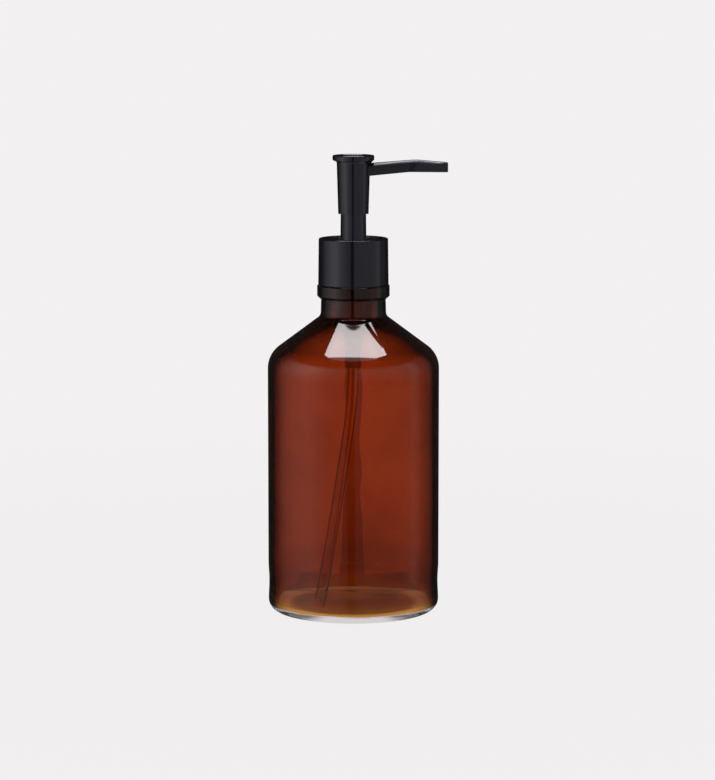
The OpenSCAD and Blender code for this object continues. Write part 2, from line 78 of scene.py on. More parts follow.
# Gap round the stem, so that no two faces lie in each other
STEM_GAP = 0.05 * MM
# Height of a row of faces where a thread is cut
THREAD_ROW = 0.3 * MM

# Brightness of the panels round the studio, by degrees from the front towards +X
PANEL_LIGHT = [(-180, 0.015), (-135, 0.02), (-120, 0.07), (-101, 0.38), (-80, 0.8), (-61, 1.1),
               (-40, 0.62), (-19, 0.36), (-9, 0.3), (-8, 0.0), (1.6, 0.0), (2.6, 0.36), (76, 0.4),
               (88, 0.55), (104, 0.15), (120, 0.1), (135, 0.02), (180, 0.015)]
# The panels fade to dark between these heights, in metres
PANEL_TOP = (0.9, 1.5)


# Sizes and finishes ---------------------------------------------------------------------------------

def length(name, description, mm):
    """A size in metres, given in millimetres."""
    return FloatProperty(name=name, description=description, default=mm * MM, min=0.0, unit="LENGTH",
                         precision=5)


def tint(name, description, rgb):
    """A colour in linear light."""
    return FloatVectorProperty(name=name, description=description, default=rgb, size=3, min=0.0, max=1.0,
                               subtype="COLOR")


class BottleSizes(bpy.types.PropertyGroup):
    """Sizes of the glass that its overall box doesn't give"""
    wall: length("Wall", "Thickness of the glass in the body", 3.8)
    base: length("Base", "Thickness of the glass in the middle of the floor", 2.4)
    corner: length("Inside corner", "Radius of the inside corner between wall and floor", 2.0)
    heel: length("Heel radius", "Radius of the outside corner between wall and base", 5.0)
    foot: length("Foot ring", "Width of the flat ring that the bottle stands on", 5.6)
    punt: length("Punt", "Height of the hollow under the base", 0.8)
    waist: length("Waist", "Depth by which the body draws in above the heel", 0.32)
    waist_top: length("Waist top", "Height at which the body has its full width again", 22.0)
    shoulder: length("Shoulder radius", "Radius of the shoulder's round edge", 11.9)
    slope: FloatProperty(name="Shoulder slope", description="Fall of the shoulder below the horizontal",
                         default=radians(36.7), subtype="ANGLE")
    neck: length("Neck radius", "Radius of the neck below the bead", 14.3)
    neck_wall: length("Neck wall", "Thickness of the glass in the neck", 2.7)
    neck_length: length("Neck length", "Length of the straight neck", 6.1)
    blend: length("Neck blend", "Radius of the hollow blend between shoulder and neck", 3.2)
    bead: length("Bead radius", "Radius of the bead under the collar", 16.03)
    bead_height: length("Bead height", "Height of the bead", 5.8)
    bead_bevel: length("Bead bevel", "Bevel under the bead", 1.1)
    finish: length("Finish radius", "Radius of the glass between its screw threads", 12.6)
    finish_height: length("Finish height", "Height of the screw finish above the bead", 15.4)
    mouth: length("Mouth radius", "Radius of the bottle's mouth", 9.6)


class ThreadSizes(bpy.types.PropertyGroup):
    """The screw thread between glass and collar"""
    pitch: length("Pitch", "Rise of the thread in one turn", 4.2333)
    height: length("Height", "Height of the ridge", 1.1)
    root: length("Root width", "Width of the glass ridge at its root", 2.2)
    crest: length("Crest width", "Width of the glass ridge at its crest", 1.0)
    top: length("Top", "Distance of the ridge's top end below the mouth", 2.0)
    turns: FloatProperty(name="Turns", description="Turns of thread on the glass", default=1.5)
    nut_turns: FloatProperty(name="Nut turns", description="Turns of thread in the collar", default=1.25)
    nut_drop: length("Nut drop", "Distance of the collar's ridge below the glass ridge", 1.725)


class PumpSizes(bpy.types.PropertyGroup):
    """Sizes of the pump that its pieces' boxes don't give"""
    collar_draft: length("Collar draft", "Draft of the collar's side", 0.24)
    collar_wall: length("Collar wall", "Thickness of the collar's wall outside the thread", 1.61)
    collar_top: length("Collar top", "Thickness of the collar's top wall", 1.4)
    collar_rim: length("Collar rim", "Width of the raised rim round the collar's top", 1.7)
    rim_height: length("Rim height", "Height of that rim", 0.8)
    collar_hole: length("Collar hole", "Radius of the hole in the collar's top", 6.0)
    guide: length("Guide radius", "Radius of the guide tube where it leaves the collar", 5.75)
    guide_draft: length("Guide draft", "Draft of the guide tube", 0.2)
    guide_bore: length("Guide bore", "Radius of the guide tube's bore", 4.5)
    flange: length("Flange", "Thickness of each clamped flange", 1.0)
    chamber: length("Chamber radius", "Radius of the pump's chamber", 7.2)
    housing: length("Housing radius", "Radius of the pump housing", 8.2)
    stem: length("Stem radius", "Radius of the stem", 3.3)
    bush: length("Bush length", "Length of the bush that guides the stem", 4.0)
    stroke: length("Stroke", "Travel of the head", 10.0)


class HeadSizes(bpy.types.PropertyGroup):
    """Sizes of the head and its nozzle"""
    sleeve_bore: length("Sleeve bore", "Radius inside the sleeve", 6.0)
    sleeve_low: length("Sleeve foot", "Radius of the sleeve at its lower edge", 6.7)
    sleeve_high: length("Sleeve top", "Radius of the sleeve under the flange", 7.37)
    flange: length("Flange thickness", "Thickness of the press flange at its edge", 2.2)
    dish: length("Dish", "Depth of the dish in the press flange", 0.7)
    crown: length("Crown", "Thickness of the solid top above the sleeve's cavity", 9.7)
    boss: length("Boss radius", "Radius of the boss that holds the stem", 4.15)
    boss_length: length("Boss length", "Length of that boss", 8.0)
    bend: length("Bend", "Distance of the nozzle's bend from the axis", 27.5)
    drop: length("Top edge", "Depth of the nozzle's top edge at the axis below the head's top", 3.9)
    rise: length("Rise", "Rise of the nozzle's top edge up to the bend", 1.9)
    fall: length("Fall", "Fall of the nozzle's top edge from the bend to the tip", 1.2)
    root_depth: length("Root depth", "Depth of the nozzle at its root", 5.5)
    tip_depth: length("Tip depth", "Depth of the nozzle at its tip", 4.25)
    root_width: length("Root width", "Width of the nozzle at its root", 6.6)
    tip_width: length("Tip width", "Width of the nozzle at its tip", 5.0)
    bevel: length("Bevel", "Bevel along the nozzle's top edges", 1.2)
    lean: length("Bend lean", "Distance of the lower bend behind the upper one", 2.9)
    bore: length("Bore", "Radius of the nozzle's bore", 1.2)


class TubeSizes(bpy.types.PropertyGroup):
    """The dip tube's walls and its curve"""
    radius: length("Radius", "Outside radius of the tube", 2.35)
    bore: length("Bore", "Radius of the bore", 1.65)
    bend_radius: length("Bend radius", "Radius of the short bend below the housing", 100.0)
    tilt: FloatProperty(name="Tilt", description="Tilt of the tube below the housing",
                        default=radians(14.0), subtype="ANGLE")
    heading: FloatProperty(name="Heading", description="Direction in which the tube leans, from +X",
                           default=radians(236.0), subtype="ANGLE")
    reach: length("Reach", "Distance of the tube's foot from the axis", 26.0)
    lift: length("Foot lift", "Height of the tube's foot above the glass floor", 1.2)


class Finishes(bpy.types.PropertyGroup):
    """Colours of the dispenser's materials"""
    coat: tint("Glass coat", "What two passes through the coat leave of white light", (0.27, 0.027, 0.0032))
    glass: tint("Bare glass", "Colour of the glass where it isn't coated", (0.96, 0.975, 0.97))
    black: tint("Black plastic", "Colour of the collar, guide and head", (0.0075, 0.0068, 0.0095))
    natural: tint("Natural plastic", "Colour of the pump's inner mouldings", (0.62, 0.62, 0.6))
    tube: tint("Tube", "Colour of the dip tube", (0.9, 0.88, 0.86))
    foam: tint("Gasket foam", "Colour of the neck gasket", (0.8, 0.8, 0.78))
    steel: tint("Steel", "Colour of the spring and the ball", (0.6, 0.6, 0.61))
    backdrop: tint("Backdrop", "Colour of the floor and the backdrop", (0.891, 0.874, 0.882))
    coat_start: length("Coat start", "Height above the table at which the coat starts", 3.4)


class StudioSettings(bpy.types.PropertyGroup):
    """Camera and light"""
    distance: length("Distance", "Distance from the camera to the middle of the object", 1400)
    elevation: FloatProperty(name="Elevation", description="Height of the camera above the horizontal",
                             default=radians(7.9), subtype="ANGLE")
    lens: FloatProperty(name="Lens", description="Focal length in millimetres", default=145.5)
    sensor: FloatProperty(name="Sensor", description="Height of the sensor in millimetres", default=36)
    fill: FloatProperty(name="Fill", description="Strength of the light from all round", default=0.35)


def sizes(name):
    """One of the groups of settings on the scene."""
    return getattr(bpy.context.scene, "dispenser_" + name)


# Meshes ---------------------------------------------------------------------------------------------

def add_piece(name, verts, faces, smooth=35):
    """A new object from points and faces, shaded smooth except over edges sharper than so many degrees."""
    mesh = bpy.data.meshes.new(name)
    mesh.from_pydata([tuple(v) for v in verts], [], faces)
    bm = bmesh.new()
    bm.from_mesh(mesh)
    bmesh.ops.recalc_face_normals(bm, faces=bm.faces)
    bm.to_mesh(mesh)
    bm.free()
    mesh.shade_smooth()
    mesh.set_sharp_from_angle(angle=radians(smooth))
    piece = bpy.data.objects.new(name, mesh)
    bpy.context.scene.collection.objects.link(piece)
    return piece


def arc(x, z, radius, start, end, steps):
    """Points on an arc in the plane of a lathe outline, from one angle to another, in radians."""
    return [(x + radius * cos(start + (end - start) * i / steps),
             z + radius * sin(start + (end - start) * i / steps)) for i in range(steps + 1)]


def rounded(corners, radius, steps=3):
    """A closed outline with each corner rounded. A corner may give its own radius as a third number.

    A rounding takes less than half of each side beside it, and a corner that is almost straight has none.
    """
    most, straight = 0.45, 0.02
    points = []
    for i, corner in enumerate(corners):
        here = Vector(corner[:2])
        before = Vector(corners[i - 1][:2]) - here
        after = Vector(corners[(i + 1) % len(corners)][:2]) - here
        r = corner[2] if len(corner) > 2 else radius
        half = before.angle(after) / 2
        if r < TINY or abs(half - pi / 2) < straight:
            points.append(tuple(here))
            continue
        reach = min(r / tan(half), before.length * most, after.length * most)
        start, end = here + before.normalized() * reach, here + after.normalized() * reach
        for k in range(steps + 1):
            t = k / steps
            points.append(tuple((1 - t) ** 2 * start + 2 * t * (1 - t) * here + t * t * end))
    return points


def lathe(name, outline, sides, shift=None):
    """Turns a closed outline of (radius, height) about Z. A radius of 0 gives one point on the axis.

    shift(angle, radius, height) may return a new radius, which is how threads are cut.
    """
    verts, rings = [], []
    for r, z in outline:
        if r < TINY:
            rings.append([len(verts)] * sides)
            verts.append((0, 0, z))
            continue
        rings.append(list(range(len(verts), len(verts) + sides)))
        for j in range(sides):
            a = 2 * pi * j / sides
            r_here = shift(a, r, z) if shift else r
            verts.append((r_here * cos(a), r_here * sin(a), z))
    faces = []
    for ring, after in zip(rings, rings[1:] + rings[:1]):
        for j in range(sides):
            k = (j + 1) % sides
            corners = [ring[j], ring[k], after[k], after[j]]
            face = list(dict.fromkeys(corners))
            if len(face) > 2:
                faces.append(face)
    return add_piece(name, verts, faces)


def tube(name, rings, closed_ends=True, smooth=35):
    """Skins a row of rings that all have as many points."""
    m = len(rings[0])
    verts = [p for ring in rings for p in ring]
    faces = [[i * m + j, i * m + (j + 1) % m, (i + 1) * m + (j + 1) % m, (i + 1) * m + j]
             for i in range(len(rings) - 1) for j in range(m)]
    if closed_ends:
        faces.append(list(range(m))[::-1])
        faces.append([(len(rings) - 1) * m + j for j in range(m)])
    return add_piece(name, verts, faces, smooth)


def ridge(wall, low, turns, root, crest, outward=1):
    """A lathe shift that raises a helical ridge out of the wall of that radius, or inwards from it."""
    thread = sizes("thread")
    total = 2 * pi * turns
    run_out = radians(30)

    def shift(angle, radius, height):
        if abs(radius - wall) > TINY:
            return radius
        best = 0.0
        for k in range(int(turns) + 2):
            t = angle + 2 * pi * k
            if t > total:
                break
            fade = min(1.0, min(t, total - t) / run_out)
            off = abs(height - low - thread.pitch * t / (2 * pi))
            rise = min(1.0, max(0.0, (root / 2 - off) / ((root - crest) / 2)))
            best = max(best, fade * rise * rise * (3 - 2 * rise))
        return radius + outward * thread.height * best
    return shift


def merge(target, tool):
    """Joins a closed piece to another as one solid."""
    join = target.modifiers.new("Join", "BOOLEAN")
    join.operation = "UNION"
    join.solver = "EXACT"
    join.object = tool
    depsgraph = bpy.context.evaluated_depsgraph_get()
    joined = bpy.data.meshes.new_from_object(target.evaluated_get(depsgraph))
    target.modifiers.clear()
    target.data = joined
    bpy.data.objects.remove(tool)


# Shader maths ---------------------------------------------------------------------------------------

class Val:
    """A number that a socket carries, with Python's operators as Math nodes."""

    def __init__(self, graph, socket):
        self.graph, self.socket = graph, socket

    def _math(self, operation, *values, clamp=False):
        return self.graph.node("ShaderNodeMath", {"operation": operation, "use_clamp": clamp}, values)

    def __add__(self, other):
        return self._math("ADD", self, other)

    def __sub__(self, other):
        return self._math("SUBTRACT", self, other)

    def __mul__(self, other):
        return self._math("MULTIPLY", self, other)

    def __rsub__(self, other):
        return self._math("SUBTRACT", other, self)

    __radd__, __rmul__ = __add__, __mul__

    def clamp(self):
        return self._math("ADD", self, 0.0, clamp=True)

    def step(self, low, high):
        """0 below low and 1 above high, with a smooth rise between."""
        return self.graph.node("ShaderNodeMapRange", {"interpolation_type": "SMOOTHSTEP"},
                               {"Value": self, "From Min": low, "From Max": high})


class Graph:
    """The node tree of one material or of the world."""

    def __init__(self, owner):
        owner.use_nodes = True
        self.tree = owner.node_tree
        self.tree.nodes.clear()

    def plug(self, socket, value):
        if isinstance(value, Val):
            self.tree.links.new(value.socket, socket)
        elif hasattr(socket.default_value, "__len__") and len(value) < len(socket.default_value):
            socket.default_value = (*value, 1.0)
        else:
            socket.default_value = value

    def node(self, kind, settings=None, values=(), out=0):
        """Adds a node: its settings first, then what its sockets hold. Returns one output."""
        made = self.tree.nodes.new(kind)
        for name, value in (settings or {}).items():
            if name == "stops":
                self.fill_ramp(made.color_ramp, value)
            else:
                setattr(made, name, value)
        if isinstance(values, dict):
            pairs = [(made.inputs[name], value) for name, value in values.items()]
        else:
            pairs = list(zip(made.inputs, values))
        for socket, value in pairs:
            self.plug(socket, value)
        return Val(self, made.outputs[out]) if made.outputs else None

    def fill_ramp(self, ramp, stops):
        while len(ramp.elements) < len(stops):
            ramp.elements.new(1.0)
        for element, (position, value) in zip(ramp.elements, stops):
            element.position = position
            element.color = (value, value, value, 1.0)

    def place(self):
        """The point in the object's own space."""
        return self.node("ShaderNodeTexCoord", out="Object")

    def axis(self, vector, index):
        return self.node("ShaderNodeSeparateXYZ", values=[vector], out=index)

    def mix(self, factor, a, b):
        """A mix of two colours. The node's colour sockets share their names with others, so go by number."""
        made = self.tree.nodes.new("ShaderNodeMix")
        made.data_type = "RGBA"
        for index, value in ((0, factor), (6, a), (7, b)):
            self.plug(made.inputs[index], value)
        return Val(self, made.outputs[2])

    def noise(self, place, scale, detail=2.0, rough=0.5):
        return self.node("ShaderNodeTexNoise", {"noise_dimensions": "3D"},
                         {"Vector": place, "Scale": scale, "Detail": detail, "Roughness": rough})

    def stretch(self, place, factors):
        return self.node("ShaderNodeVectorMath", {"operation": "MULTIPLY"}, [place, factors])

    def bump(self, height, strength, distance):
        return self.node("ShaderNodeBump",
                         values={"Height": height, "Strength": strength, "Distance": distance})

    def surface(self, clear=None, **values):
        """Ends the material in one Principled shader, with a share of plain clear film if one is given."""
        sockets = {name.replace("_", " "): value for name, value in values.items()}
        shader = self.node("ShaderNodeBsdfPrincipled", values=sockets)
        if clear is not None:
            film = self.node("ShaderNodeBsdfTransparent", values={"Color": (0.96, 0.95, 0.94)})
            shader = self.node("ShaderNodeMixShader", values=[clear, shader, film])
        self.node("ShaderNodeOutputMaterial", values=[shader])


def material(build):
    """The material that a function builds, made once and named after it."""
    name = build.__name__ + "_finish"
    found = bpy.data.materials.get(name)
    if found is None:
        found = bpy.data.materials.new(name)
        build(Graph(found))
    return found


def seen_directly(g):
    """1 for rays from the camera and for what gloss and glass show, 0 for light."""
    path = g.node("ShaderNodeLightPath", out="Is Camera Ray")
    through = g.node("ShaderNodeLightPath", out="Is Transmission Ray")
    gloss = g.node("ShaderNodeLightPath", out="Is Glossy Ray")
    return (path + through + gloss).clamp()


def turned_away(g, normal, rise, low, high):
    """1 where a surface is seen edge on and 0 where it faces the viewer, with its normal's rise replaced."""
    set_normal = g.node("ShaderNodeCombineXYZ", values=[g.axis(normal, 0), g.axis(normal, 1), rise])
    set_normal = g.node("ShaderNodeVectorMath", {"operation": "NORMALIZE"}, [set_normal])
    facing = g.node("ShaderNodeLayerWeight", values={"Blend": 0.5, "Normal": set_normal}, out="Facing")
    return facing.step(low, high)


def edge_on(g, low, high):
    """How far the surface is edge on. An upright wall counts as leaning back, so it isn't so from above."""
    lean = 0.5
    normal = g.node("ShaderNodeNewGeometry", out="Normal")
    rise = g.axis(normal, 2)
    upright = 1 - g.node("ShaderNodeMath", {"operation": "ABSOLUTE"}, [rise])
    return turned_away(g, normal, rise + upright * lean, low, high)


def at_the_sides(g, low, high):
    """How far the surface is turned to the left or right, with what looks up or down taken as upright."""
    normal = g.node("ShaderNodeNewGeometry", out="Normal")
    return turned_away(g, normal, 0.0, low, high)


def scaled(colour, factor):
    """A colour that many times as bright."""
    return tuple(c * factor for c in colour)


def coated_glass(g):
    """Clear glass under a thin see-through coat, which fades out at the foot."""
    colours = sizes("finishes")
    # Colours of painted shade and painted light in the coat: lower body, heel, neck and edges
    shade_red, heel_light_gold, neck_shade_brown = (0.02, 0.0, 0.0), (0.3, 0.065, 0.002), (0.01, 0.002, 0.001)
    edge_shade_black = (0.0006, 0.0004, 0.0004)
    place = g.place()
    height = g.axis(place, 2)
    # 0 below and 1 above the heel, the lower body, and the feet of the shoulder, the neck and the bead
    heel_top = height.step(6 * MM, 8 * MM)
    lower_body = height.step(7 * MM, 11 * MM)
    shoulder = height.step(106 * MM, 113 * MM)
    neck = height.step(122 * MM, 132 * MM)
    bead = height.step(139.3 * MM, 140.1 * MM)
    drift = (g.noise(place, 60.0, 3.0) - 0.5) * (1.2 * MM)
    coat = (height + drift).step(colours.coat_start - 0.4 * MM, colours.coat_start + 0.6 * MM)
    patchy = g.noise(place, 28.0, 4.0, 0.55)
    body = g.mix(patchy.step(0.35, 0.75), colours.coat, scaled(colours.coat, 0.62))
    # Painted shade: the lower body is darkened towards deep red, most from 11 to 20 mm up and gone by 60 mm
    lower_shade = 0.45 - 0.25 * height.step(20 * MM, 26 * MM) - 0.2 * height.step(40 * MM, 60 * MM)
    body = g.mix(lower_body * lower_shade, body, shade_red)
    # Painted light: below 8 mm the coat turns a lighter gold, as where light crosses only one coat
    body = g.mix(0.8 - 0.8 * heel_top, body, heel_light_gold)
    # Painted shade: the neck and the bead are darkened to brown
    body = g.mix(neck * 0.5 + bead * 0.45, body, neck_shade_brown)
    colour = g.mix(coat, colours.glass, body)
    # Darker where the glass is seen edge on: partly the longer path through the coat, partly painted shade
    edge = edge_on(g, 0.2 - 0.13 * neck, 0.62 - 0.24 * neck)
    colour = g.mix(edge * coat, colour, edge_shade_black)
    clear_foot = (1 - coat) * (0.9 - 0.7 * at_the_sides(g, 0.1, 0.4))
    waves = g.noise(place, 22.0, 2.0, 0.4)
    g.surface(clear=clear_foot, Base_Color=colour, Roughness=0.0, IOR=1.5, Transmission_Weight=1.0,
              Specular_Tint=(0.4, 0.4, 0.4), Coat_Weight=shoulder * 0.6 - neck * 0.2, Coat_IOR=1.5,
              Normal=g.bump(waves, 0.35, 1.2 * MM))


def bare_glass(g):
    """The uncoated inside of the bottle."""
    waves = g.noise(g.place(), 26.0, 2.0, 0.4)
    g.surface(Base_Color=sizes("finishes").glass, Roughness=0.0, IOR=1.5, Transmission_Weight=1.0,
              Normal=g.bump(waves, 0.3, 1 * MM))


def black_plastic(g):
    """Glossy black moulding with a faint ripple and fine scuffs."""
    colour = sizes("finishes").black
    place = g.place()
    ripple = g.noise(place, 90.0, 2.0)
    scuff = g.noise(g.stretch(place, (1.0, 1.0, 6.0)), 900.0, 3.0)
    shade = g.mix(g.noise(place, 120.0, 3.0).step(0.3, 0.8), colour, scaled(colour, 1.5))
    g.surface(Base_Color=shade, Roughness=0.1 + scuff * 0.05, IOR=1.55, Specular_Tint=(0.9, 0.87, 1.0),
              Normal=g.bump(ripple, 0.03, 0.6 * MM))


def natural_plastic(g):
    """Milky uncoloured polypropylene."""
    colour = sizes("finishes").natural
    flow = g.noise(g.stretch(g.place(), (1.0, 1.0, 0.3)), 160.0, 3.0)
    shade = g.mix(flow.step(0.3, 0.7), colour, scaled(colour, 0.86))
    g.surface(Base_Color=shade, Roughness=0.32 + flow * 0.15, IOR=1.49, Subsurface_Weight=0.25,
              Subsurface_Radius=(1.5 * MM,) * 3, Normal=g.bump(flow, 0.1, 0.3 * MM))


def clear_tube(g):
    """See-through polyethylene, with painted shade along its edges."""
    colour = sizes("finishes").tube
    flow = g.noise(g.stretch(g.place(), (1.0, 1.0, 0.15)), 400.0, 2.0)
    # Painted shade: brown-black where the tube is seen edge on
    shade = g.mix(edge_on(g, 0.25, 0.5), colour, (0.16, 0.11, 0.08))
    g.surface(Base_Color=shade, Roughness=0.05, IOR=1.08, Transmission_Weight=1.0,
              Normal=g.bump(flow, 0.1, 0.2 * MM))


def tube_bore(g):
    """The inside of the see-through tube."""
    flow = g.noise(g.stretch(g.place(), (1.0, 1.0, 0.15)), 500.0, 2.0)
    shade = g.mix(flow.step(0.3, 0.7), sizes("finishes").tube, (0.86, 0.82, 0.79))
    g.surface(Base_Color=shade, Roughness=0.03, IOR=1.08, Transmission_Weight=1.0)


def gasket_foam(g):
    """Closed-cell foam with fine pores."""
    colour = sizes("finishes").foam
    pores = g.node("ShaderNodeTexVoronoi", {"feature": "F1"}, {"Vector": g.place(), "Scale": 2600.0})
    shade = g.mix(pores.step(0.1, 0.6), scaled(colour, 0.8), colour)
    g.surface(Base_Color=shade, Roughness=0.75, IOR=1.45, Normal=g.bump(pores, 0.3, 0.1 * MM))


def spring_steel(g):
    """Drawn and polished stainless steel."""
    colour = sizes("finishes").steel
    drawn = g.noise(g.stretch(g.place(), (1.0, 1.0, 5.0)), 1500.0, 3.0)
    shade = g.mix(drawn.step(0.3, 0.7), colour, scaled(colour, 0.8))
    g.surface(Base_Color=shade, Metallic=1.0, Roughness=0.22 + drawn * 0.14,
              Normal=g.bump(drawn, 0.08, 0.1 * MM))


MATERIALS = {build.__name__: build for build in (coated_glass, bare_glass, black_plastic, natural_plastic,
                                                 clear_tube, tube_bore, gasket_foam, spring_steel)}


def two_finishes(piece, outer, inner, first_inner):
    """Gives a hollow piece one material outside and another from its first inner face on."""
    piece.data.materials.append(material(outer))
    piece.data.materials.append(material(inner))
    for face in piece.data.polygons:
        face.material_index = 1 if face.index >= first_inner else 0


def finish(piece, slot, body, *nodes):
    """Gives a piece its material and the body that carries it, and hides the imported parts it replaces."""
    if not piece.data.materials:
        piece.data.materials.append(material(MATERIALS[slot]))
    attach(piece, body)
    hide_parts(*nodes)


# Outlines -------------------------------------------------------------------------------------------

def glass_outlines():
    """The glass outside, from the middle of the base up to the rim, and inside, from the rim to the floor."""
    s = sizes("bottle")
    low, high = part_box("glass_bottle")
    body, mouth_top = min(high[1], -low[0]), high[2]
    turn = pi / 2 - s.slope
    inset, draft = 0.15 * MM, 0.15 * MM
    crease, bead_edge, rim = 0.25 * MM, 0.5 * MM, 0.6 * MM
    foot = body - s.heel
    bead_top = mouth_top - s.finish_height
    bead = bead_top - s.bead_height
    neck = bead - s.neck_length
    blend_x = s.neck + draft + s.blend
    top_x, top_z = blend_x - s.blend * cos(turn), neck - s.blend * sin(turn)
    centre_x = body - s.shoulder
    foot_x = centre_x + s.shoulder * cos(turn)
    foot_z = top_z - (foot_x - top_x) / tan(turn)
    centre_z = foot_z - s.shoulder * sin(turn)
    floor = s.base + s.punt
    punt = foot - s.foot
    steps, few = 24, 6
    outside = [(punt * i / steps, s.punt * (1 - (i / steps) ** 2)) for i in range(steps + 1)]
    outside += arc(foot, s.heel, s.heel - inset / 2, radians(-90), 0, steps)
    for u in (i / steps for i in range(1, steps + 1)):
        drawn_in = inset * (1 - u) / 2 + s.waist * (1 - cos(2 * pi * u)) / 2
        outside.append((body - drawn_in, s.heel + (s.waist_top - s.heel) * u))
    outside += arc(centre_x, centre_z, s.shoulder, 0, turn, steps)
    outside += arc(blend_x, neck, s.blend, pi + turn, pi, steps // 2)
    outside += arc(s.neck + crease, bead - crease, crease, pi, pi / 2, 4)
    outside += [(s.bead - s.bead_bevel, bead), (s.bead, bead + s.bead_bevel)]
    outside += arc(s.bead - bead_edge, bead_top - bead_edge, bead_edge, 0, pi / 2, few)
    rows = int((mouth_top - bead_top) / THREAD_ROW)
    outside += [(s.finish, bead_top + (mouth_top - rim - bead_top) * i / rows) for i in range(rows)]
    outside += arc(s.finish - rim, mouth_top - rim, rim, 0, pi / 2, few)
    inner = body - s.wall
    inside = arc(s.mouth + rim, mouth_top - rim, rim, pi / 2, pi, few)
    inside += [(s.mouth, bead + 1.5 * MM), (s.neck - s.neck_wall, neck + 2 * MM)]
    inside += arc(blend_x, neck, s.blend + s.neck_wall, pi, pi + turn, steps // 2)
    inside += arc(centre_x, centre_z, s.shoulder - s.wall, turn, 0, steps)
    inside += arc(inner - s.corner, floor + s.corner, s.corner, 0, -pi / 2, steps // 2)
    inside += [(inner * 0.4, floor), (0, floor)]
    return outside, inside


# Operators ------------------------------------------------------------------------------------------

class DISPENSER_OT_bottle(bpy.types.Operator):
    """Turn the glass bottle with its punt, heel, bead and screw finish"""
    bl_idname = "dispenser.bottle"
    bl_label = "Glass bottle"

    def execute(self, context):
        thread = sizes("thread")
        sides = 192
        outside, inside = glass_outlines()
        mouth_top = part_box("glass_bottle")[1][2]
        low = mouth_top - thread.top - thread.turns * thread.pitch
        screw = ridge(sizes("bottle").finish, low, thread.turns, thread.root, thread.crest)
        glass = lathe("bottle_glass", outside + inside, sides, screw)
        two_finishes(glass, coated_glass, bare_glass, (len(outside) - 1) * sides)
        finish(glass, "coated_glass", "bottle", "glass_bottle")
        return {"FINISHED"}


class DISPENSER_OT_collar(bpy.types.Operator):
    """Turn the screw collar with its recessed top and inside thread"""
    bl_idname = "dispenser.collar"
    bl_label = "Screw collar"

    def execute(self, context):
        s, thread = sizes("pump"), sizes("thread")
        low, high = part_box("collar")
        outer, foot, top = high[1], low[2], high[2]
        wall = outer - s.collar_wall
        roof = top - s.rim_height - s.collar_top
        lip = outer - s.collar_draft - s.collar_rim
        mouth_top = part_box("glass_bottle")[1][2]
        start = mouth_top - thread.top - thread.turns * thread.pitch - thread.nut_drop
        # The collar's ridge is narrower than the glass one, which leaves play between them
        screw = ridge(wall, start, thread.nut_turns, thread.root * 0.77, thread.crest * 0.8, outward=-1)
        rows = int((roof - foot) / THREAD_ROW)
        side = [(wall, roof + (foot - roof) * i / rows) for i in range(1, rows)]
        corners = [(wall, foot, 0.3 * MM), (outer, foot, 0.3 * MM), (outer - s.collar_draft, top, 0.6 * MM),
                   (lip, top, 0.35 * MM), (lip, top - s.rim_height, 0.3 * MM),
                   (s.collar_hole, top - s.rim_height, 0.25 * MM), (s.collar_hole, roof, 0.1 * MM),
                   (wall, roof, 0.4 * MM)]
        collar = lathe("screw_collar", rounded(corners, 0.3 * MM, steps=5) + side, sides=192, shift=screw)
        finish(collar, "black_plastic", "screw_collar", "collar")
        return {"FINISHED"}


class DISPENSER_OT_guide(bpy.types.Operator):
    """Turn the guide tube that the head's sleeve slides over"""
    bl_idname = "dispenser.guide"
    bl_label = "Guide tube"

    def execute(self, context):
        s = sizes("pump")
        low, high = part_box("guide_tube")
        bottom, top, flange = low[2], high[2], high[1]
        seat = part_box("pump_housing")[1][2]
        bush = s.stem + STEM_GAP
        ledge, skirt = seat - 0.4 * MM, s.chamber - 1.2 * MM
        corners = [(bush, bottom), (s.chamber, bottom), (s.chamber, seat), (flange, seat),
                   (flange, seat + s.flange), (s.guide, seat + s.flange), (s.guide - s.guide_draft, top),
                   (s.guide_bore, top), (s.guide_bore, ledge), (skirt, ledge), (skirt, bottom + s.bush),
                   (bush, bottom + s.bush)]
        guide = lathe("guide_tube_moulding", rounded(corners, 0.25 * MM), sides=128)
        finish(guide, "black_plastic", "pump_body", "guide_tube")
        return {"FINISHED"}


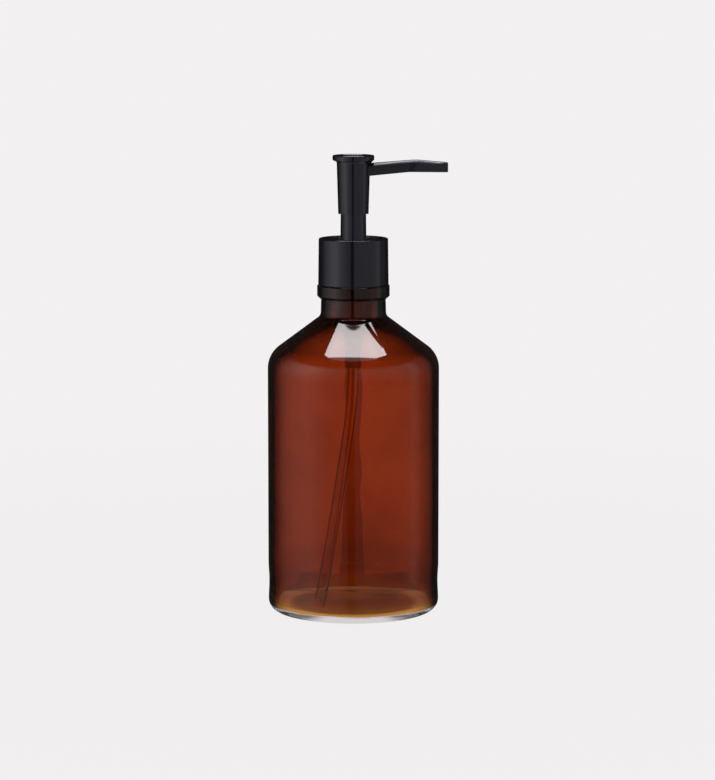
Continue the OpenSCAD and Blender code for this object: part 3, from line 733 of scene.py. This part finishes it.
class DISPENSER_OT_dip_tube(bpy.types.Operator):
    """Sweep the dip tube from its socket down to the floor of the bottle"""
    bl_idname = "dispenser.dip_tube"
    bl_label = "Dip tube"

    def execute(self, context):
        s, b = sizes("tube"), sizes("bottle")
        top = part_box("dip_tube")[1][2]
        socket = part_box("pump_housing")[0][2]
        bend_steps, curve_steps, sides = 8, 40, 32
        # The foot is cut at a slant, falling by so much of its width, and stays clear of the floor
        cut, spare = 0.8, 0.3
        foot = b.base + b.punt + s.lift + s.radius * (cut + spare)
        bend_x, bend_z = s.bend_radius * (1 - cos(s.tilt)), socket - s.bend_radius * sin(s.tilt)
        fall, slope = bend_z - foot, tan(s.tilt)
        flare = (s.reach - bend_x) / fall - slope
        stations = [(0, top, 0), (0, socket, 0)]
        stations += [(s.bend_radius * (1 - cos(t)), socket - s.bend_radius * sin(t), t)
                     for t in (s.tilt * i / bend_steps for i in range(1, bend_steps + 1))]
        stations += [(bend_x + fall * u * (slope + flare * u), bend_z - fall * u, atan(slope + 2 * flare * u))
                     for u in (i / curve_steps for i in range(1, curve_steps + 1))]

        def ring(station, radius, slant):
            x, z, tilt = station
            points = []
            for j in range(sides):
                a = 2 * pi * j / sides
                across, along = radius * cos(a), slant * radius * cos(a)
                points.append((x + across * cos(tilt) + along * sin(tilt), radius * sin(a),
                               z + across * sin(tilt) - along * cos(tilt)))
            return points

        last = len(stations) - 1
        rings = [ring(p, s.radius, -cut if i == last else 0) for i, p in enumerate(stations)]
        rings += [ring(stations[i], s.bore, -cut if i == last else 0) for i in range(last, -1, -1)]
        rings.append(rings[0])
        pipe = tube("dip_tube_pipe", rings, closed_ends=False)
        pipe.data.transform(Matrix.Rotation(s.heading, 4, "Z"))
        two_finishes(pipe, clear_tube, tube_bore, last * sides + 1)
        finish(pipe, "clear_tube", "pump_body", "dip_tube")
        return {"FINISHED"}


class DISPENSER_OT_housing(bpy.types.Operator):
    """Turn the pump housing with its chamber, ball seat and tube socket"""
    bl_idname = "dispenser.housing"
    bl_label = "Pump housing"

    def execute(self, context):
        s = sizes("pump")
        low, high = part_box("pump_housing")
        ball_low, ball_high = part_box("inlet_ball")
        spring_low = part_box("return_spring")[0][2]
        tube_r = sizes("tube").radius
        tube_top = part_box("dip_tube")[1][2]
        ball_r = (ball_high[2] - ball_low[2]) / 2
        cone = radians(39)
        pocket = ball_r + 0.5 * MM
        seat = ball_low[2] + 0.53 * MM
        inlet = ball_r * cos(cone) - 0.25 * MM
        cone_top = seat + (pocket - inlet) / tan(cone)
        flange = high[2] - s.flange
        spigot, valve = tube_r + 1.2 * MM, pocket + 1 * MM
        corners = [(tube_r, low[2]), (spigot, low[2]), (spigot, seat - 0.4 * MM), (valve, seat),
                   (valve, spring_low - 2.2 * MM), (s.housing, spring_low + 1 * MM), (s.housing, flange),
                   (high[1], flange), (high[1], high[2]), (s.chamber, high[2]), (s.chamber, spring_low),
                   (pocket, spring_low), (pocket, cone_top), (inlet, seat), (inlet, tube_top),
                   (tube_r, tube_top)]
        housing = lathe("pump_housing_moulding", rounded(corners, 0.15 * MM), sides=96)
        finish(housing, "natural_plastic", "pump_body", "pump_housing")
        return {"FINISHED"}


class DISPENSER_OT_spring(bpy.types.Operator):
    """Wind the return spring"""
    bl_idname = "dispenser.spring"
    bl_label = "Return spring"

    def execute(self, context):
        low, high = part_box("return_spring")
        wire = 0.45 * MM
        coils, steps, sides = 7, 40, 12
        radius = high[0] - wire
        bottom, top = low[2] + wire, high[2] - wire
        shut = 2 * wire * 1.03
        rise = (top - bottom - 2 * shut) / (coils - 2)

        def height(t):
            if t < 1:
                return bottom + shut * t
            if t > coils - 1:
                return top - shut * (coils - t)
            return bottom + shut + rise * (t - 1)

        rings = []
        for i in range(coils * steps + 1):
            a = 2 * pi * i / steps
            rings.append([((radius + wire * cos(b)) * cos(a), (radius + wire * cos(b)) * sin(a),
                           height(i / steps) + wire * sin(b))
                          for b in (2 * pi * j / sides for j in range(sides))])
        spring = tube("return_spring_wire", rings, smooth=60)
        finish(spring, "spring_steel", "pump_body", "return_spring")
        stroke = sizes("pump").stroke
        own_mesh(spring)
        return {"FINISHED"}


class DISPENSER_OT_head(bpy.types.Operator):
    """Shape the head: sleeve, dished press flange, bent nozzle and the web between them"""
    bl_idname = "dispenser.head"
    bl_label = "Pump head"

    def sleeve(self):
        s = sizes("head")
        low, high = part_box("actuator_head")
        foot, top, rim = low[2], high[2], high[1]
        roof = top - s.crown
        stem_hole = sizes("pump").stem + STEM_GAP
        hole_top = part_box("stem")[1][2] + STEM_GAP
        dish = rim - 1.5 * MM
        outside = rounded([(s.sleeve_bore, foot, 0.15 * MM), (s.sleeve_low, foot, 0.25 * MM),
                           (s.sleeve_high, top - s.flange - 0.8 * MM, 0.8 * MM),
                           (rim, top - s.flange + 0.05 * MM, 0.35 * MM), (rim, top, 0.8 * MM),
                           (dish, top, 0.6 * MM), (dish - 0.4 * MM, top - 0.3 * MM, 0.4 * MM),
                           (0, top - s.dish, 0)], 0.3 * MM, steps=6)
        ring = [p for p in outside if p[0] > dish - 1 * MM]
        bowl_r, bowl_edge, steps = dish - 0.8 * MM, s.dish - 0.36 * MM, 12
        bowl = [(bowl_r * u, top - s.dish + bowl_edge * u ** 2)
                for u in (1 - i / steps for i in range(steps + 1))]
        boss_foot = roof - s.boss_length
        inside = [(0, hole_top), (stem_hole, hole_top), (stem_hole, boss_foot), (s.boss, boss_foot),
                  (s.boss, roof), (s.sleeve_bore, roof)]
        return lathe("head_sleeve", ring + bowl + inside, sides=160)

    def section(self, x, z_high, depth, lean, width, bevel):
        """One cross-section of the nozzle, with soft edges."""
        half, z_low, under = width / 2, z_high - depth, 0.35 * MM
        corners = [(-half, z_low, under), (half, z_low, under), (half, z_high - bevel),
                   (half - bevel, z_high), (bevel - half, z_high), (-half, z_high - bevel)]
        outline = rounded(corners, 0.3 * MM, steps=4)
        return [(x - lean * (z_high - z) / depth, y, z) for y, z in outline]

    def nozzle(self):
        s = sizes("head")
        tip_x, _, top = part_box("actuator_head")[1]
        root_z = top - s.drop
        bend_z = root_z + s.rise
        tip_z = bend_z - s.fall
        bend_depth = (s.root_depth + s.tip_depth) / 2 + 0.45 * MM
        bend_w = s.root_width + (s.tip_width - s.root_width) * s.bend / tip_x
        start = 3 * MM
        inner, outer = s.bend - start, tip_x - s.bend
        stations = [(start, root_z, s.root_depth, 0, s.root_width, s.bevel)]
        # The bend is eased over a short length on either side
        eases, ease_step, ease_depth = 3, 0.45 * MM, 0.12 * MM
        for k in range(-eases, eases + 1):
            off = k * ease_step
            slope = s.rise / inner if off < 0 else -s.fall / outer
            soft = ease_depth * (1 - abs(k) / eases) ** 2
            taper = (s.tip_depth - bend_depth) / outer if off > 0 else (bend_depth - s.root_depth) / inner
            stations.append((s.bend + off, bend_z + slope * off - soft, bend_depth + taper * off - soft,
                             s.lean, bend_w, s.bevel))
        # The tip is rounded in three rings: the way back from the end, the way in and the share of the bevel
        edge, mid = 0.35 * MM, 0.1 * MM
        for back, cut, share in ((edge, 0, 0.75), (mid, mid, 0.72), (0, edge, 0.65)):
            stations.append((tip_x - back, tip_z - cut, s.tip_depth - 2 * cut, 0, s.tip_width - 2 * cut,
                             s.bevel * share))
        rings = [self.section(*station) for station in stations]
        bore_z = tip_z - s.tip_depth / 2
        face = rings[-1]

        def hole(depth, radius):
            points = []
            for _, y, z in face:
                scale = radius / sqrt(y * y + (z - bore_z) ** 2)
                points.append((tip_x - depth, y * scale, bore_z + (z - bore_z) * scale))
            return points

        chamfer, bore_depth = 0.15 * MM, 18 * MM
        rings += [hole(0, s.bore + chamfer), hole(chamfer, s.bore), hole(bore_depth, s.bore)]
        return tube("head_nozzle", rings, smooth=28)

    def web(self):
        s = sizes("head")
        _, rim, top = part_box("actuator_head")[1]
        under = top - s.flange
        half = s.root_width / 2 - s.bevel
        sunk, into_flange = s.sleeve_high - 1 * MM, under + 0.4 * MM
        profile = [(sunk, under - 2.4 * MM), (s.sleeve_high + 0.1 * MM, under - 1.6 * MM),
                   (rim - 0.1 * MM, into_flange), (sunk, into_flange)]
        rings = [[(x, y, z) for x, z in profile] for y in (-half, half)]
        return tube("head_web", rings)

    def execute(self, context):
        head = self.sleeve()
        merge(head, self.nozzle())
        merge(head, self.web())
        head.name = head.data.name = "pump_head"
        head.data.set_sharp_from_angle(angle=radians(32))
        finish(head, "black_plastic", "head", "actuator_head")
        return {"FINISHED"}


class DISPENSER_OT_inner_works(bpy.types.Operator):
    """Give the pump's hidden mouldings, its ball and its gasket their materials"""
    bl_idname = "dispenser.inner_works"
    bl_label = "Inner works"

    def execute(self, context):
        for node, slot in (("stem", "natural_plastic"), ("valve_poppet", "natural_plastic"),
                           ("piston", "natural_plastic"), ("inlet_ball", "spring_steel"),
                           ("neck_gasket", "gasket_foam")):
            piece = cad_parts[node]
            for place in piece.material_slots:
                place.material = material(MATERIALS[slot])
        return {"FINISHED"}


class DISPENSER_OT_stage(bpy.types.Operator):
    """Set up the pale floor and backdrop, the soft lights and the camera"""
    bl_idname = "dispenser.stage"
    bl_label = "Studio"

    def soft_light(self, name, azimuth, elevation, distance, width, height, radiance, **shown):
        """A soft panel that faces the dispenser. Azimuth 0 is the front, and 90 degrees is along +X."""
        lamp = bpy.data.lights.new(name, "AREA")
        lamp.shape = "RECTANGLE"
        lamp.size, lamp.size_y = width, height
        lamp.energy = radiance * pi * width * height
        panel = bpy.data.objects.new(name, lamp)
        bpy.context.scene.collection.objects.link(panel)
        aim = Vector((0, 0, 100 * MM))
        direction = Vector((sin(azimuth) * cos(elevation), -cos(azimuth) * cos(elevation), sin(elevation)))
        panel.location = aim + direction * distance
        panel.rotation_euler = direction.to_track_quat("Z", "Y").to_euler()
        panel.visible_camera = False
        panel.visible_transmission = False
        for setting, value in shown.items():
            setattr(panel, setting, value)

    def floor(self):
        colour = sizes("finishes").backdrop
        size = 6.0
        corners = [(-size, -size, 0), (size, -size, 0), (size, size, 0), (-size, size, 0)]
        ground = add_piece("floor", corners, [[0, 1, 2, 3]])
        ground.location.z = -0.3 * MM

        def studio_floor(g):
            matt = g.node("ShaderNodeBsdfDiffuse", values={"Color": colour})
            glow = g.node("ShaderNodeEmission", values={"Color": colour, "Strength": 1.0})
            place = g.place()
            spot = g.node("ShaderNodeVectorMath", {"operation": "LENGTH"}, [place], out="Value")
            # Through the glass, the floor under the bottle and close behind it gets painted shade: its glow
            # is dimmed there, standing for the bottle's own shadow
            through = g.node("ShaderNodeLightPath", out="Is Transmission Ray")
            under, near, far = 0.2, 0.77, 0.03
            beside = (spot.step(26 * MM, 31 * MM) + 1 - through).clamp()
            share = under + near * beside + far * spot.step(150 * MM, 700 * MM)
            aside = g.node("ShaderNodeMath", {"operation": "ABSOLUTE"}, [g.axis(place, 0)])
            behind = g.axis(place, 1)
            # Painted shadow behind the bottle, seen only through glass: a tapering strip where the glow is
            # dimmed by 0.75 near the bottle and 0.55 further back
            shade_wedge = 1 - (aside + behind * 0.27).step(48 * MM, 50.5 * MM)
            shade_strip = behind.step(20 * MM, 30 * MM) * (1 - behind.step(68 * MM, 71 * MM))
            depth = 0.75 - 0.2 * behind.step(35 * MM, 60 * MM)
            share = share * (1 - through * shade_wedge * shade_strip * depth)
            both = g.node("ShaderNodeMixShader", values=[seen_directly(g) * share, matt, glow])
            g.node("ShaderNodeOutputMaterial", values=[both])

        ground.data.materials.append(material(studio_floor))
        ground.visible_glossy = False

    def surround(self):
        """A soft ring that only gloss shows: pale at the sides, dark behind and in a slot in front."""
        steps, radius, low, high = 72, 1.6, -1.3, 4.5
        verts = [(radius * sin(a), -radius * cos(a), z)
                 for a in (2 * pi * i / steps for i in range(steps)) for z in (low, high)]
        count = len(verts)
        faces = [[i, (i + 2) % count, (i + 3) % count, i + 1] for i in range(0, count, 2)]
        ring = add_piece("surround", verts, faces)

        def surround_panels(g):
            place = g.place()
            right, front = g.axis(place, 0), 0 - g.axis(place, 1)
            turn = g.node("ShaderNodeMath", {"operation": "ARCTAN2"}, [right, front])
            stops = [(0.5 + heading / 360, brightness) for heading, brightness in PANEL_LIGHT]
            glow = g.node("ShaderNodeValToRGB", {"stops": stops}, [0.5 + turn * (0.5 / pi)])
            shade = g.mix(g.axis(place, 2).step(*PANEL_TOP), glow, (0.015, 0.015, 0.015))
            light = g.node("ShaderNodeEmission", values={"Color": shade, "Strength": 1.0})
            g.node("ShaderNodeOutputMaterial", values=[light])

        ring.data.materials.append(material(surround_panels))
        ring.visible_camera = ring.visible_diffuse = ring.visible_transmission = ring.visible_shadow = False

    def slot_card(self):
        """A narrow card on the floor behind the bottle and up from it, which only its glass shows: painted
        shade, a dim grey glow seen as a darker column through the glass.
        """
        start, far, left, right = 45 * MM, 350 * MM, -7.5 * MM, 6 * MM
        rows = [(start, 0), (far, 0), (far, 400 * MM)]
        card = add_piece("slot_card", [(x, y, z) for y, z in rows for x in (left, right)],
                         [[0, 1, 3, 2], [2, 3, 5, 4]])

        def slot_grey(g):
            # Painted shade: a dim grey glow, darker than the backdrop
            light = g.node("ShaderNodeEmission", values={"Color": (0.52, 0.44, 0.47), "Strength": 1.0})
            g.node("ShaderNodeOutputMaterial", values=[light])

        card.data.materials.append(material(slot_grey))
        card.visible_camera = card.visible_diffuse = card.visible_glossy = card.visible_shadow = False

    def world(self):
        colour = sizes("finishes").backdrop
        world = bpy.data.worlds.new("studio")
        bpy.context.scene.world = world
        g = Graph(world)
        seen = seen_directly(g)
        strength = seen + (1 - seen) * sizes("studio").fill
        light = g.node("ShaderNodeBackground", values={"Color": colour, "Strength": strength})
        g.node("ShaderNodeOutputWorld", values=[light])

    def camera(self):
        s = sizes("studio")
        low, high = CAD_BOX
        below_middle = 2.75 * MM
        middle = (Vector(low) + Vector(high)) / 2 - Vector((0, 0, below_middle))
        camera = bpy.data.cameras.new("camera")
        camera.lens, camera.sensor_fit = s.lens, "VERTICAL"
        camera.sensor_width = camera.sensor_height = s.sensor
        camera.clip_start, camera.clip_end = 0.05, 50
        eye = bpy.data.objects.new("camera", camera)
        bpy.context.scene.collection.objects.link(eye)
        back = Vector((0, -cos(s.elevation), sin(s.elevation)))
        eye.location = middle + back * s.distance
        eye.rotation_euler = back.to_track_quat("Z", "Y").to_euler()
        bpy.context.scene.camera = eye

    def execute(self, context):
        self.floor()
        self.world()
        self.camera()
        for name, azimuth, radiance in (("soft_left", -50, 0.5), ("soft_right", 50, 0.4)):
            self.soft_light(name, radians(azimuth), radians(20), distance=1.1, width=1.0, height=1.0,
                            radiance=radiance, visible_glossy=False)
        self.soft_light("soft_top", radians(175), radians(76), distance=0.75, width=0.53, height=0.42,
                        radiance=8.0, visible_diffuse=False)
        self.surround()
        self.slot_card()
        context.scene.view_settings.view_transform = "Standard"
        # Light crosses many walls of glass, one behind another
        context.scene.cycles.max_bounces = 32
        context.scene.cycles.glossy_bounces = context.scene.cycles.transmission_bounces = 24
        return {"FINISHED"}


class DISPENSER_PT_panel(bpy.types.Panel):
    """Lists the pieces in the 3D view's sidebar"""
    bl_label = "Soap pump dispenser"
    bl_idname = "DISPENSER_PT_panel"
    bl_space_type = "VIEW_3D"
    bl_region_type = "UI"
    bl_category = "Dispenser"

    def draw(self, context):
        for operator in OPERATORS:
            self.layout.operator(operator.bl_idname)


GROUPS = {"bottle": BottleSizes, "thread": ThreadSizes, "pump": PumpSizes, "head": HeadSizes,
          "tube": TubeSizes, "finishes": Finishes, "studio": StudioSettings}
OPERATORS = [DISPENSER_OT_stage, DISPENSER_OT_bottle, DISPENSER_OT_collar, DISPENSER_OT_guide,
             DISPENSER_OT_dip_tube, DISPENSER_OT_housing, DISPENSER_OT_spring, DISPENSER_OT_head,
             DISPENSER_OT_inner_works]


def register():
    for cls in [*GROUPS.values(), *OPERATORS, DISPENSER_PT_panel]:
        bpy.utils.register_class(cls)
    for name, group in GROUPS.items():
        setattr(bpy.types.Scene, "dispenser_" + name, PointerProperty(type=group))


def unregister():
    for name in GROUPS:
        delattr(bpy.types.Scene, "dispenser_" + name)
    for cls in [DISPENSER_PT_panel, *reversed(OPERATORS), *GROUPS.values()]:
        bpy.utils.unregister_class(cls)


def main():
    register()
    for operator in OPERATORS:
        _, name = operator.bl_idname.split(".")
        getattr(bpy.ops.dispenser, name)()


if __name__ == "__main__":
    main()
